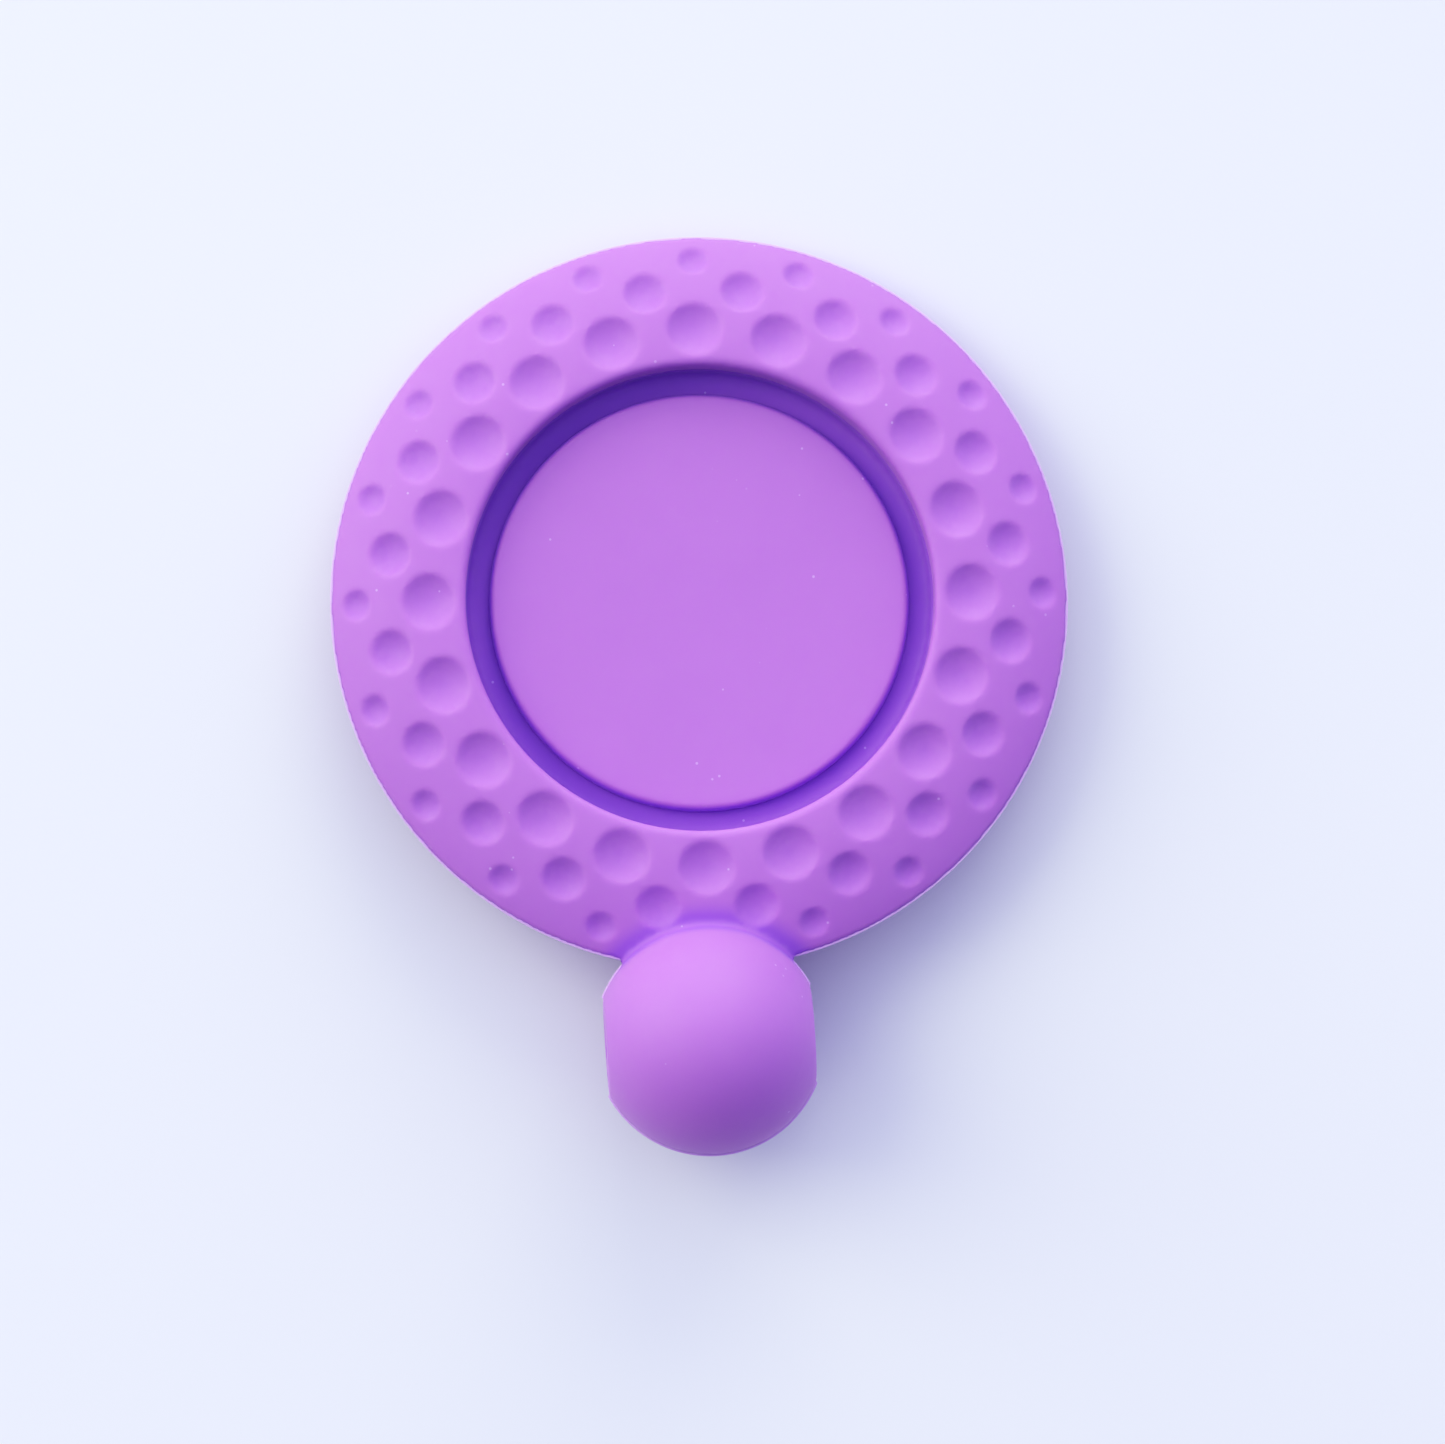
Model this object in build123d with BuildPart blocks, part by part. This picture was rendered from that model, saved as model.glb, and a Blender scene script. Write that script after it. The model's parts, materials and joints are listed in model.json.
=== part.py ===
"""Two-part silicone casting mould: a dimpled ring on a plain base, a loose core in the middle and a split bead.

The upper half, the lower half and the core come apart upwards along the disc's axis. The halves meet on one flat
parting plane. The gap between the core and the halves is the ring cavity, and the recess above the core joins it.
The bead on the rim is split by the same plane, and a cord bore crosses it from flat to flat.

Origin: centre of the flat underside of the disc. +Z is up the disc's axis, and the bead lies towards -Y.
"""

import os
from math import asin, cos, degrees, hypot, radians, sin, tan

from build123d import *

# Disc, in millimetres
RIM_RADIUS = 25.0
RING_WIDTH = 9.1  # rim to the wall of the recess
LOWER_THICKNESS = 2.5  # underside to parting plane
CROWN_HEIGHT = 2.5  # parting plane to the top of the crown
RIM_LAND = 0.3  # straight stretch of the rim on each side of the parting plane
UNDERSIDE_FLAT_FROM_RIM = 3.5

# Crown section, from the recess outwards
INNER_EDGE_RADIUS = 0.4
SHOULDER_FROM_RIM = 1.5
SHOULDER_DROP = 1.45  # below the top of the crown

# Ring cavity, between the core and the halves
CAVITY_WIDTH = 1.65  # at the parting plane
CAVITY_DEPTH = 1.2  # parting plane to the cavity's floor
DRAFT = 4.0  # degrees, on both walls

# Core, whose flat face is level with the parting plane
CORE_EDGE_RADIUS = 0.45
SPIGOT_RADIUS = 7.0
SPIGOT_CLEARANCE = 0.1
SPIGOT_FLOOR = 0.55  # left in the lower half under the spigot's socket

# Dimples: rows of spherical hollows, from the recess outwards
DIMPLES_PER_ROW = 20
DIMPLE_EDGE_SLOPE = 37.0  # degrees, between a hollow's edge and the crown
DIMPLE_CUTTER_MARGIN = 8.0  # degrees, how far the cutting cap reaches past the hollow's edge, over the crown's bulge
INNER_DIMPLE_RADIUS = 1.98
MIDDLE_DIMPLE_RADIUS = 1.56
OUTER_DIMPLE_RADIUS = 1.08
INNER_ROW_FROM_RECESS = 2.5
OUTER_ROW_FROM_RIM = 1.7
MIDDLE_ROW_PLACE = 0.58  # of the way from the inner row to the outer row

# Bead
BEAD_RADIUS = 7.75
BEAD_CENTRE_FROM_RIM = 4.9
BEAD_FLAT_DEPTH = 0.75  # how much each flat takes off the ball
BEAD_TURN = 2.6  # degrees, of the flats about the bead's upright axis
CORD_BORE_RADIUS = 1.25
NECK_FILLET = 0.35

# Register: a ring tongue on the disc and two pegs in the bead
TONGUE_FROM_RIM = 5.0
TONGUE_WIDTH = 1.2
TONGUE_BELOW_CROWN = 1.8
PEG_RADIUS = 1.1
PEG_HEIGHT = 1.6
PEG_FROM_BORE = 1.55  # left between the bore and each peg
REGISTER_CLEARANCE = 0.15

# Worked out from the values above: heights
PARTING_Z = LOWER_THICKNESS
CROWN_TOP_Z = PARTING_Z + CROWN_HEIGHT
CAVITY_FLOOR_Z = PARTING_Z - CAVITY_DEPTH
SPIGOT_END_Z = SPIGOT_FLOOR + SPIGOT_CLEARANCE
TONGUE_HEIGHT = CROWN_HEIGHT - TONGUE_BELOW_CROWN

# Radii from the disc's axis
RECESS_RADIUS = RIM_RADIUS - RING_WIDTH
CORE_RADIUS = RECESS_RADIUS - CAVITY_WIDTH
DRAFT_SHIFT = CAVITY_DEPTH * tan(radians(DRAFT))
CROWN_PEAK_RADIUS = RECESS_RADIUS + INNER_EDGE_RADIUS
SHOULDER_RADIUS = RIM_RADIUS - SHOULDER_FROM_RIM
SHOULDER_REACH = SHOULDER_RADIUS - CROWN_PEAK_RADIUS
TONGUE_RADIUS = RIM_RADIUS - TONGUE_FROM_RIM
INNER_ROW_RADIUS = RECESS_RADIUS + INNER_ROW_FROM_RECESS
OUTER_ROW_RADIUS = RIM_RADIUS - OUTER_ROW_FROM_RIM
MIDDLE_ROW_RADIUS = INNER_ROW_RADIUS + MIDDLE_ROW_PLACE * (OUTER_ROW_RADIUS - INNER_ROW_RADIUS)

# The crown's arc, level at its peak, and the pattern of the dimples
CROWN_ARC_RADIUS = (SHOULDER_REACH**2 + SHOULDER_DROP**2) / (2 * SHOULDER_DROP)
ROW_STEP = 360 / DIMPLES_PER_ROW
TOWARDS_BEAD = -90  # degrees, from +X about +Z

# The bead
BEAD_CENTRE_RADIUS = RIM_RADIUS + BEAD_CENTRE_FROM_RIM
BEAD_WIDTH = 2 * (BEAD_RADIUS - BEAD_FLAT_DEPTH)
PEG_OFFSET = CORD_BORE_RADIUS + PEG_FROM_BORE + PEG_RADIUS
CUT_REACH = 3 * BEAD_RADIUS  # long enough to pass the bead on every side

PARTING_PLANE = Plane.XY.offset(PARTING_Z)
BEAD_PLANE = Plane(origin=(0, -BEAD_CENTRE_RADIUS, PARTING_Z), x_dir=(1, tan(radians(BEAD_TURN)), 0))


def bead_half(lowest_latitude, highest_latitude):
    """Makes the part of the bead between two latitudes, with its flats."""
    with BuildPart() as half:
        with Locations(BEAD_PLANE):
            Sphere(BEAD_RADIUS, arc_size1=lowest_latitude, arc_size2=highest_latitude, align=None)
        with BuildSketch(BEAD_PLANE):
            Rectangle(BEAD_WIDTH, CUT_REACH)
        extrude(amount=CUT_REACH, both=True, mode=Mode.INTERSECT)
    return half.part


def round_neck():
    """Rounds the curved edge along which the bead meets the disc."""
    neck = edges().filter_by(GeomType.BSPLINE)
    fillet(neck, radius=NECK_FILLET)


def cut_cord_bore():
    """Cuts the bore from flat to flat, with its axis in the parting plane."""
    with BuildSketch(Plane(origin=BEAD_PLANE.origin, z_dir=BEAD_PLANE.x_dir)) as bore:
        Circle(CORD_BORE_RADIUS)
    extrude(bore.sketch, amount=CUT_REACH, both=True, mode=Mode.SUBTRACT)


def clear_of_bead(angle, row_radius, dimple_radius):
    """Tells whether the hollow at an angle round a row misses the bead, seen from above."""
    across = row_radius * cos(radians(angle))
    along = row_radius * sin(radians(angle)) + BEAD_CENTRE_RADIUS
    return hypot(across, along) > BEAD_RADIUS + dimple_radius


def cut_dimple_row(row_radius, dimple_radius, first_angle):
    """Cuts one row of spherical hollows, each square to the crown where it lies."""
    crown_slope = asin((row_radius - CROWN_PEAK_RADIUS) / CROWN_ARC_RADIUS)
    crown_z = CROWN_TOP_Z - CROWN_ARC_RADIUS * (1 - cos(crown_slope))
    ball_radius = dimple_radius / sin(radians(DIMPLE_EDGE_SLOPE))
    stand_off = ball_radius * cos(radians(DIMPLE_EDGE_SLOPE))
    cap_edge = DIMPLE_EDGE_SLOPE + DIMPLE_CUTTER_MARGIN - 90
    tilt = (0, degrees(crown_slope), 0)
    ball_place = row_radius + stand_off * sin(crown_slope)
    angles = [first_angle + step * ROW_STEP for step in range(DIMPLES_PER_ROW)]
    places = [
        Location((ball_place * cos(radians(angle)), ball_place * sin(radians(angle)), 0), (0, 0, angle))
        for angle in angles
        if clear_of_bead(angle, row_radius, dimple_radius)
    ]
    with Locations(Plane.XY.offset(crown_z + stand_off * cos(crown_slope))):
        with Locations(*places):
            Sphere(ball_radius, arc_size1=-90, arc_size2=cap_edge, rotation=tilt, align=None, mode=Mode.SUBTRACT)


def register(clearance):
    """Gives the tongue and the pegs as one solid group, grown by a clearance to cut what they fit into."""
    with BuildPart() as tongue_and_pegs:
        with BuildSketch(PARTING_PLANE):
            Circle(TONGUE_RADIUS + TONGUE_WIDTH / 2 + clearance)
            Circle(TONGUE_RADIUS - TONGUE_WIDTH / 2 - clearance, mode=Mode.SUBTRACT)
        extrude(amount=TONGUE_HEIGHT + clearance)
        with BuildSketch(BEAD_PLANE):
            with Locations((0, -PEG_OFFSET), (0, PEG_OFFSET)):
                Circle(PEG_RADIUS + clearance)
        extrude(amount=PEG_HEIGHT + clearance)
    return tongue_and_pegs.part


# Upper half: the dimpled ring and the top of the bead
with BuildPart() as upper_half:
    with BuildSketch(Plane.XZ):
        with BuildLine():
            wall = Line((RECESS_RADIUS, PARTING_Z), (RECESS_RADIUS, CROWN_TOP_Z - INNER_EDGE_RADIUS))
            inner_edge = TangentArc(wall @ 1, (CROWN_PEAK_RADIUS, CROWN_TOP_Z), tangent=wall % 1)
            crown = TangentArc(inner_edge @ 1, (SHOULDER_RADIUS, CROWN_TOP_Z - SHOULDER_DROP), tangent=(1, 0))
            shoulder = TangentArc(crown @ 1, (RIM_RADIUS, PARTING_Z + RIM_LAND), tangent=crown % 1)
            Polyline(shoulder @ 1, (RIM_RADIUS, PARTING_Z), wall @ 0)
        make_face()
    revolve(axis=Axis.Z)
    add(bead_half(0, 90))
    round_neck()
    cut_cord_bore()

    cut_dimple_row(INNER_ROW_RADIUS, INNER_DIMPLE_RADIUS, TOWARDS_BEAD)
    cut_dimple_row(MIDDLE_ROW_RADIUS, MIDDLE_DIMPLE_RADIUS, TOWARDS_BEAD + ROW_STEP / 2)
    cut_dimple_row(OUTER_ROW_RADIUS, OUTER_DIMPLE_RADIUS, TOWARDS_BEAD)

    add(register(REGISTER_CLEARANCE), mode=Mode.SUBTRACT)

# Lower half: the plain base and the bottom of the bead
with BuildPart() as lower_half:
    with BuildSketch(Plane.XZ):
        with BuildLine():
            underside = Line((0, 0), (RIM_RADIUS - UNDERSIDE_FLAT_FROM_RIM, 0))
            lower_edge = TangentArc(underside @ 1, (RIM_RADIUS, PARTING_Z - RIM_LAND), tangent=underside % 1)
            Polyline(lower_edge @ 1, (RIM_RADIUS, PARTING_Z), (0, PARTING_Z), underside @ 0)
        make_face()
    revolve(axis=Axis.Z)
    add(bead_half(-90, 0))
    round_neck()
    cut_cord_bore()

    with BuildSketch(Plane.XZ):
        Polygon(
            (0, PARTING_Z),
            (RECESS_RADIUS, PARTING_Z),
            (RECESS_RADIUS - DRAFT_SHIFT, CAVITY_FLOOR_Z),
            (SPIGOT_RADIUS + SPIGOT_CLEARANCE, CAVITY_FLOOR_Z),
            (SPIGOT_RADIUS + SPIGOT_CLEARANCE, SPIGOT_FLOOR),
            (0, SPIGOT_FLOOR),
            align=None,
        )
    revolve(axis=Axis.Z, mode=Mode.SUBTRACT)

    add(register(0))

# Core: the loose round block that stands in the recess
with BuildPart() as core:
    with BuildSketch(Plane.XZ):
        Polygon(
            (0, PARTING_Z),
            (CORE_RADIUS, PARTING_Z),
            (CORE_RADIUS + DRAFT_SHIFT, CAVITY_FLOOR_Z),
            (SPIGOT_RADIUS, CAVITY_FLOOR_Z),
            (SPIGOT_RADIUS, SPIGOT_END_Z),
            (0, SPIGOT_END_Z),
            align=None,
        )
    revolve(axis=Axis.Z)
    face_rim = edges().filter_by(GeomType.CIRCLE).group_by(Axis.Z)[-1]
    fillet(face_rim, radius=CORE_EDGE_RADIUS)

os.makedirs("parts", exist_ok=True)
for name, piece in (("upper_half", upper_half), ("lower_half", lower_half), ("core", core)):
    piece.part.label = name
    export_step(piece.part, f"parts/{name}.step")
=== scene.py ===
import json
from math import cos, radians, sin

import bpy
from mathutils import Euler, Matrix, Vector


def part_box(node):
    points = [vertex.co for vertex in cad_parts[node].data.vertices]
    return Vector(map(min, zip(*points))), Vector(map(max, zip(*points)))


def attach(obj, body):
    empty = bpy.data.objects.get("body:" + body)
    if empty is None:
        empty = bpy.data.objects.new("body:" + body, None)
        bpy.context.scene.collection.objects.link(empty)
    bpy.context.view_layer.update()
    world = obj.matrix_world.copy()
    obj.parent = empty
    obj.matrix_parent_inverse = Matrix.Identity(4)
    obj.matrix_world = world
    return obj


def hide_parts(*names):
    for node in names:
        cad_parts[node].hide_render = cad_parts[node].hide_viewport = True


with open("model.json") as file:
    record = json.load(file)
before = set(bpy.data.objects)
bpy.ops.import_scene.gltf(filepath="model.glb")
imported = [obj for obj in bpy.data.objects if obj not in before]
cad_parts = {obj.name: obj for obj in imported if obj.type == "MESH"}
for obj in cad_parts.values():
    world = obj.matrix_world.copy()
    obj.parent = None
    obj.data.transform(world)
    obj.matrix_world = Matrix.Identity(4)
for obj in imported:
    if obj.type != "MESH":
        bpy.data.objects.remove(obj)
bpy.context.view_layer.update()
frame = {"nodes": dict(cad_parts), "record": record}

MM = 0.001

# Cell sizes of the moulded pieces' skins, and how far their edges are softened
UPPER_CELL = 0.21 * MM
LOWER_CELL = 0.24 * MM
CORE_CELL = 0.19 * MM
SOFTENING_PASSES = 2

# Seam lip: the thin proud edge that the moulding left along the parting line
LIP_PROUD = 0.09 * MM
LIP_DEPTH = 0.5 * MM
LIP_THICKNESS = 0.17 * MM
LIP_EDGE = 0.04 * MM
LIP_SIDES = 360

# Camera
VIEW_TILT = radians(7.8)  # off the disc's axis, towards the bead
VIEW_TURN = radians(14)  # of that tilt, to the left of the bead
VIEW_ROLL = radians(1.3)
VIEW_DISTANCE = 450 * MM
VIEW_NEAREST = 0.01
VIEW_FARTHEST = 20
FRAME_WIDTH = 98.3 * MM
DISC_LEFT_OF_AIM = 1.56 * MM
DISC_ABOVE_AIM = 8.23 * MM

# Stage
TABLE_SIZE = 6.0
TABLE_STEEPEST = radians(30)
SLOPE_HALVINGS = 24
# Each window's azimuth from +X and elevation in degrees, and its watts
WINDOWS = ((160, 38, 3.6), (78, 26, 3.2))
WINDOW_DISTANCE = 0.9
WINDOW_SIZE = (0.6, 0.75)
WINDOW_LIGHT = (0.96, 1.0, 0.64)
ROOM_LIGHT = (0.655, 0.685, 0.99)
ROOM_LEAN = (-0.12, 1.0, 0.30)  # how much brighter the room gets towards +X, +Y and up
ROOM_STRENGTH = 0.84

# Colours
PURPLE = (0.475, 0.19, 0.60, 1.0)
PURPLE_CLOUD = (0.485, 0.195, 0.61, 1.0)
# Painted shade: the dark indigo that the silicone's colour is mixed towards in recesses and gaps
PAINTED_SHADE_PURPLE = (0.19, 0.055, 0.66, 1.0)
# The seam lip's colours: the first two are partly the thin flash's own paler tone and partly a painted
# highlight of its lit edge; the third is its painted shade
SEAM_PALE_AND_PAINTED_HIGHLIGHT = (0.66, 0.40, 0.80, 1.0)
SEAM_PALE_AND_PAINTED_HIGHLIGHT_CLOUD = (0.70, 0.44, 0.83, 1.0)
PAINTED_SHADE_SEAM_PURPLE = (0.60, 0.34, 0.78, 1.0)
DUST_COLOUR = (0.80, 0.62, 0.95, 1.0)
PAPER = (0.80, 0.815, 0.86, 1.0)
PAPER_CLOUD = (0.83, 0.84, 0.875, 1.0)

# Sizes of the patterns
CLOUD_SIZE = 6 * MM
DUST_SPACING = 1.5 * MM
DUST_PATCHES = 3.1 * MM
SKIN_GRAIN = 0.09 * MM
SKIN_WAVES = 1.1 * MM
SKIN_DEPTH = 0.012 * MM
PAPER_GRAIN = 0.35 * MM
PAPER_CLOUDS = 40 * MM
PAPER_DEPTH = 0.03 * MM

# Painted shade: the silicone's colour is mixed towards a dark indigo where ambient occlusion finds little
# open sky, in recesses and gaps
PAINTED_SHADE_REACH = 1.9 * MM
PAINTED_SHADE_FULL = 0.76  # share of the sky seen where the painted shade is darkest
PAINTED_SHADE_NONE = 0.99  # and where it isn't changed
PAINTED_SHADE_DEPTH = 0.42

# Camera's response to light: soft in the lights and deep in the darks
RESPONSE_POWER = 1.5
RESPONSE_SOFTNESS = 0.7
RESPONSE_STEPS = 9

# The frame's own sizes
mounts = {mount["name"]: mount for mount in frame["record"]["mounts"]}
bead_centre = Vector(mounts["cord_bore"]["pos_m"])
bead_axis = Vector(mounts["cord_bore"]["axis"])
bead_width = mounts["cord_bore"]["dims"]["length_mm"] * MM
lower_low, lower_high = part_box("lower_half")
rim_radius = lower_high.x
bead_radius = bead_centre.z - lower_low.z
disc_middle = Vector((0, 0, bead_centre.z))


# ------------------------------------------------------------------ shader maths

class Socket:
    """A node's output that adds a Math node for each operator used on it."""

    def __init__(self, tree, link):
        self.tree = tree
        self.link = link

    def math(self, operation, *others):
        node = self.tree.nodes.new("ShaderNodeMath")
        node.operation = operation
        for place, value in enumerate((self, *others)):
            if isinstance(value, Socket):
                self.tree.links.new(value.link, node.inputs[place])
            else:
                node.inputs[place].default_value = value
        return Socket(self.tree, node.outputs[0])

    def __add__(self, other):
        return self.math("ADD", other)

    def __mul__(self, other):
        return self.math("MULTIPLY", other)

    __radd__ = __add__
    __rmul__ = __mul__


class Finish:
    """A material or the world being made, with one method for every kind of node."""

    def __init__(self, owner):
        self.owner = owner
        self.owner.use_nodes = True
        self.tree = self.owner.node_tree
        self.tree.nodes.clear()

    def node(self, kind, settings, inputs, output=0):
        made = self.tree.nodes.new("ShaderNode" + kind)
        for name, value in settings.items():
            setattr(made, name, value)
        for name, value in inputs.items():
            if isinstance(value, Socket):
                self.tree.links.new(value.link, made.inputs[name])
            else:
                made.inputs[name].default_value = value
        return Socket(self.tree, made.outputs[output])

    def place(self):
        return self.node("TexCoord", {}, {}, "Object")

    def noise(self, place, size, detail):
        return self.node("TexNoise", {}, {"Vector": place, "Scale": 1 / size, "Detail": detail})

    def mix(self, factor, first, second):
        made = self.tree.nodes.new("ShaderNodeMix")
        made.data_type = "RGBA"
        for name, value in (("Factor_Float", factor), ("A_Color", first), ("B_Color", second)):
            socket = next(s for s in made.inputs if s.identifier == name)
            if isinstance(value, Socket):
                self.tree.links.new(value.link, socket)
            else:
                socket.default_value = value
        return Socket(self.tree, next(s for s in made.outputs if s.identifier == "Result_Color"))

    def finish(self, shader, kind="Material"):
        end = self.tree.nodes.new("ShaderNodeOutput" + kind)
        self.tree.links.new(shader.link, end.inputs["Surface"])
        return self.owner


# --------------------------------------------------------------------- materials

def silicone(name, colour, cloud_colour, painted_shade_colour):
    """Matt moulded silicone with a fine sanded skin and specks of dust, with painted shade that turns its
    colour a darker indigo in recesses and gaps.
    """
    made = Finish(bpy.data.materials.new(name))
    place = made.place()
    cloud = made.node("MapRange", {}, {
        "Value": made.noise(place, CLOUD_SIZE, 3.0), "From Min": 0.35, "From Max": 0.65})
    # Painted shade: ambient occlusion mixes the base colour towards a dark indigo where the silicone is
    # enclosed
    open_sky = made.node("AmbientOcclusion", {"samples": 12}, {"Distance": PAINTED_SHADE_REACH}, "AO")
    painted_shade_mix = made.node("MapRange", {}, {
        "Value": open_sky, "From Min": PAINTED_SHADE_FULL, "From Max": PAINTED_SHADE_NONE,
        "To Min": PAINTED_SHADE_DEPTH, "To Max": 0.0})
    body = made.mix(painted_shade_mix, made.mix(cloud, colour, cloud_colour), painted_shade_colour)
    spots = made.node("TexVoronoi", {"feature": "F1"}, {
        "Vector": place, "Scale": 1 / DUST_SPACING, "Randomness": 1.0}, "Distance")
    dust = made.node("MapRange", {"interpolation_type": "SMOOTHSTEP"}, {
        "Value": spots, "From Min": 0.045, "From Max": 0.075, "To Min": 0.35, "To Max": 0.0})
    few = made.node("MapRange", {}, {
        "Value": made.noise(place, DUST_PATCHES, 1.0), "From Min": 0.52, "From Max": 0.58})
    skin = made.noise(place, SKIN_GRAIN, 3.0)
    waves = made.noise(place, SKIN_WAVES, 2.0)
    relief = made.node("Bump", {}, {
        "Strength": 0.22, "Distance": SKIN_DEPTH, "Height": skin + waves * 1.6})
    shader = made.node("BsdfPrincipled", {"subsurface_method": "RANDOM_WALK"}, {
        "Base Color": made.mix(dust * few, body, DUST_COLOUR),
        "Roughness": made.node("MapRange", {}, {"Value": waves, "To Min": 0.50, "To Max": 0.62}),
        "Normal": relief,
        "Subsurface Weight": 0.35,
        "Subsurface Radius": (1.0, 0.55, 1.3),
        "Subsurface Scale": 0.9 * MM,
        "IOR": 1.41,
        "Sheen Weight": 0.08,
        "Sheen Roughness": 0.5,
    })
    return made.finish(shader)


def table_paper():
    """Plain pale paper with a faint grain."""
    made = Finish(bpy.data.materials.new("table_paper"))
    place = made.place()
    grain = made.noise(place, PAPER_GRAIN, 4.0)
    cloud = made.noise(place, PAPER_CLOUDS, 2.0)
    shader = made.node("BsdfPrincipled", {}, {
        "Base Color": made.mix(cloud, PAPER, PAPER_CLOUD),
        "Roughness": 0.85,
        "Normal": made.node("Bump", {}, {"Strength": 0.10, "Distance": PAPER_DEPTH, "Height": grain}),
    })
    return made.finish(shader)


# ------------------------------------------------------------------------ pieces

def start_alone():
    """Deselects everything, so that the next operator acts on what it adds."""
    if bpy.context.mode != "OBJECT":
        bpy.ops.object.mode_set(mode="OBJECT")
    bpy.ops.object.select_all(action="DESELECT")


def apply_modifier(piece, kind, **settings):
    modifier = piece.modifiers.new(kind.lower(), kind)
    for name, value in settings.items():
        setattr(modifier, name, value)
    bpy.ops.object.modifier_apply(modifier=modifier.name)


def finish_piece(piece, body, node, material):
    """Puts a piece on its body, in place of a CAD node if one is named."""
    piece.data.materials.clear()
    piece.data.materials.append(material)
    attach(piece, body)
    if node:
        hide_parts(node)


def moulded_skin(node, name, cell):
    """Makes a CAD node's shape in one even skin, with its edges softened as moulding leaves them."""
    start_alone()
    piece = bpy.data.objects.new(name, frame["nodes"][node].data.copy())
    bpy.context.scene.collection.objects.link(piece)
    bpy.context.view_layer.objects.active = piece
    piece.select_set(True)
    bpy.ops.mesh.customdata_custom_splitnormals_clear()
    bpy.ops.object.mode_set(mode="EDIT")
    bpy.ops.mesh.select_all(action="SELECT")
    bpy.ops.mesh.remove_doubles(threshold=0.001 * MM)
    bpy.ops.object.mode_set(mode="OBJECT")
    apply_modifier(piece, "REMESH", mode="VOXEL", voxel_size=cell, use_smooth_shade=True)
    apply_modifier(piece, "SMOOTH", factor=0.5, iterations=SOFTENING_PASSES)
    bpy.ops.object.shade_smooth()
    return piece


def lip_strip(name, cut_to_flats):
    """Makes the seam lip's flat strip round the disc, or round the bead between its flats."""
    start_alone()
    radius, middle = (bead_radius, bead_centre) if cut_to_flats else (rim_radius, disc_middle)
    bpy.ops.mesh.primitive_circle_add(vertices=LIP_SIDES, radius=radius + LIP_PROUD, fill_type="NGON",
                                      location=middle)
    strip = bpy.context.object
    strip.name = name
    bpy.ops.object.transform_apply(location=True, rotation=False, scale=False)
    bpy.ops.object.mode_set(mode="EDIT")
    bpy.ops.mesh.select_all(action="SELECT")
    bpy.ops.mesh.inset(thickness=LIP_PROUD + LIP_DEPTH)
    bpy.ops.mesh.delete(type="FACE")
    if cut_to_flats:
        for side in (-1, 1):
            bpy.ops.mesh.select_all(action="SELECT")
            bpy.ops.mesh.bisect(plane_co=bead_centre + bead_axis * side * bead_width / 2,
                                plane_no=bead_axis * side, clear_outer=True)
    bpy.ops.mesh.select_all(action="SELECT")
    bpy.ops.mesh.normals_make_consistent(inside=False)
    bpy.ops.transform.translate(value=(0, 0, LIP_THICKNESS / 2 + LIP_EDGE))
    bpy.ops.object.mode_set(mode="OBJECT")
    apply_modifier(strip, "SOLIDIFY", thickness=LIP_THICKNESS, offset=0)
    apply_modifier(strip, "BEVEL", width=LIP_EDGE, segments=2, limit_method="ANGLE")
    bpy.ops.object.shade_smooth_by_angle(angle=radians(40))
    return strip


# ------------------------------------------------------------------------- stage

def table_slope():
    """Finds the slope of the table, on which the part rests with its bead and the disc's far edge."""
    corners = [vertex.co for vertex in frame["nodes"]["lower_half"].data.vertices]
    bead = [corner for corner in corners if corner.y < bead_centre.y + bead_radius / 2]
    far_edge = [corner for corner in corners if corner.y > 0]
    low, high = 0.0, TABLE_STEEPEST
    for _ in range(SLOPE_HALVINGS):
        slope = (low + high) / 2
        up = Vector((0, -sin(slope), cos(slope)))
        if min(up.dot(corner) for corner in bead) < min(up.dot(corner) for corner in far_edge):
            low = slope
        else:
            high = slope
    return slope, up, min(up.dot(corner) for corner in bead)


def make_table():
    slope, up, height = table_slope()
    start_alone()
    bpy.ops.mesh.primitive_plane_add(size=TABLE_SIZE, location=up * height, rotation=(slope, 0, 0))
    table = bpy.context.object
    table.name = "table"
    table.data.materials.append(table_paper())


def make_camera():
    towards = Vector((-sin(VIEW_TILT) * sin(VIEW_TURN), -sin(VIEW_TILT) * cos(VIEW_TURN), cos(VIEW_TILT)))
    up_hint = Vector((sin(VIEW_ROLL), cos(VIEW_ROLL), 0))
    right = up_hint.cross(towards).normalized()
    up = towards.cross(right)
    eye = disc_middle + towards * VIEW_DISTANCE
    aim = disc_middle + right * DISC_LEFT_OF_AIM - up * DISC_ABOVE_AIM
    back = (eye - aim).normalized()
    right = up_hint.cross(back).normalized()
    up = back.cross(right)
    bpy.ops.object.camera_add()
    camera = bpy.context.object
    camera.matrix_world = Matrix.Translation(eye) @ Matrix((right, up, back)).transposed().to_4x4()
    camera.data.lens = camera.data.sensor_width * (eye - aim).length / FRAME_WIDTH
    camera.data.clip_start, camera.data.clip_end = VIEW_NEAREST, VIEW_FARTHEST
    bpy.context.scene.camera = camera


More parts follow.
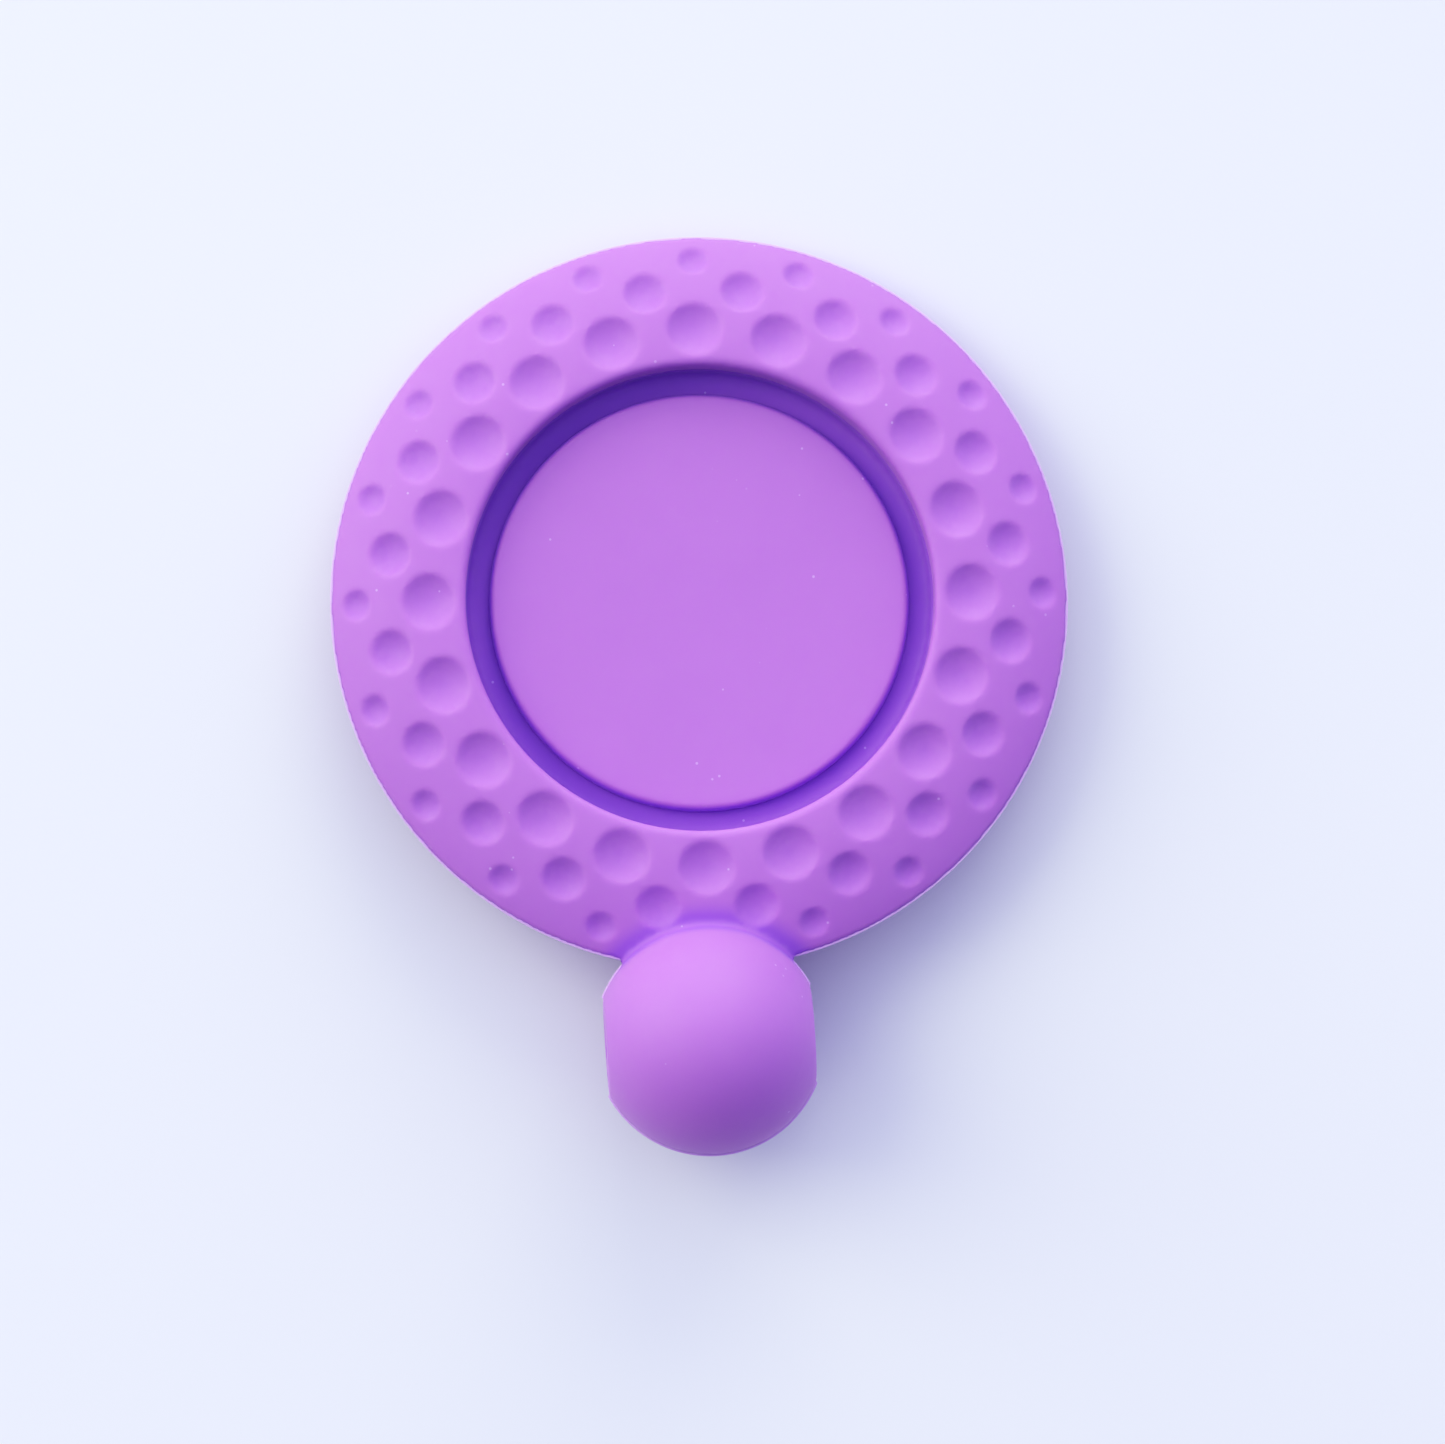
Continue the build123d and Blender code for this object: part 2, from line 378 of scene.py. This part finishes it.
def make_light():
    for azimuth, elevation, power in WINDOWS:
        towards = Vector((1, 0, 0))
        towards.rotate(Euler((0, -radians(elevation), radians(azimuth))))
        bpy.ops.object.light_add(type="AREA", location=towards * WINDOW_DISTANCE)
        window = bpy.context.object
        window.rotation_mode = "QUATERNION"
        window.rotation_quaternion = towards.to_track_quat("Z", "Y")
        window.data.shape = "RECTANGLE"
        window.data.size, window.data.size_y = WINDOW_SIZE
        window.data.energy = power
        window.data.color = WINDOW_LIGHT
    room = Finish(bpy.data.worlds.new("room"))
    direction = room.node("TexCoord", {}, {}, "Generated")
    lean = room.node("VectorMath", {"operation": "DOT_PRODUCT"}, {0: direction, 1: ROOM_LEAN}, "Value")
    shader = room.node("Background", {}, {
        "Color": (*ROOM_LIGHT, 1.0), "Strength": (lean + 1.0) * ROOM_STRENGTH})
    bpy.context.scene.world = room.finish(shader, "World")


def film_response(light):
    """The brightness shown for a light, from 0 at 0 to 1 at 1."""
    risen = light**RESPONSE_POWER
    return risen * (1 + RESPONSE_SOFTNESS) / (risen + RESPONSE_SOFTNESS)


def set_response():
    """Gives the view the camera's response, with its steps closest in the darks."""
    view = bpy.context.scene.view_settings
    view.view_transform = "Standard"
    view.use_curve_mapping = True
    curve = view.curve_mapping.curves[3]
    for step in range(1, RESPONSE_STEPS):
        light = (step / RESPONSE_STEPS)**2
        curve.points.new(light, film_response(light))
    view.curve_mapping.update()


make_camera()
make_light()
set_response()
make_table()

purple = silicone("purple_silicone", PURPLE, PURPLE_CLOUD, PAINTED_SHADE_PURPLE)
# The seam lip's paler colour is partly a painted highlight of its lit edge
seam_lip_silicone_and_painted_highlight = silicone("thin_seam_silicone_painted_highlight", SEAM_PALE_AND_PAINTED_HIGHLIGHT, SEAM_PALE_AND_PAINTED_HIGHLIGHT_CLOUD, PAINTED_SHADE_SEAM_PURPLE)

finish_piece(moulded_skin("upper_half", "dimpled_ring_and_bead", UPPER_CELL), "top", "upper_half",
             purple)
finish_piece(moulded_skin("lower_half", "plain_base_and_bead", LOWER_CELL), "base", "lower_half",
             purple)
finish_piece(moulded_skin("core", "round_core", CORE_CELL), "middle", "core", purple)
finish_piece(lip_strip("seam_lip_of_disc", False), "top", None, seam_lip_silicone_and_painted_highlight)
finish_piece(lip_strip("seam_lip_of_bead", True), "top", None, seam_lip_silicone_and_painted_highlight)
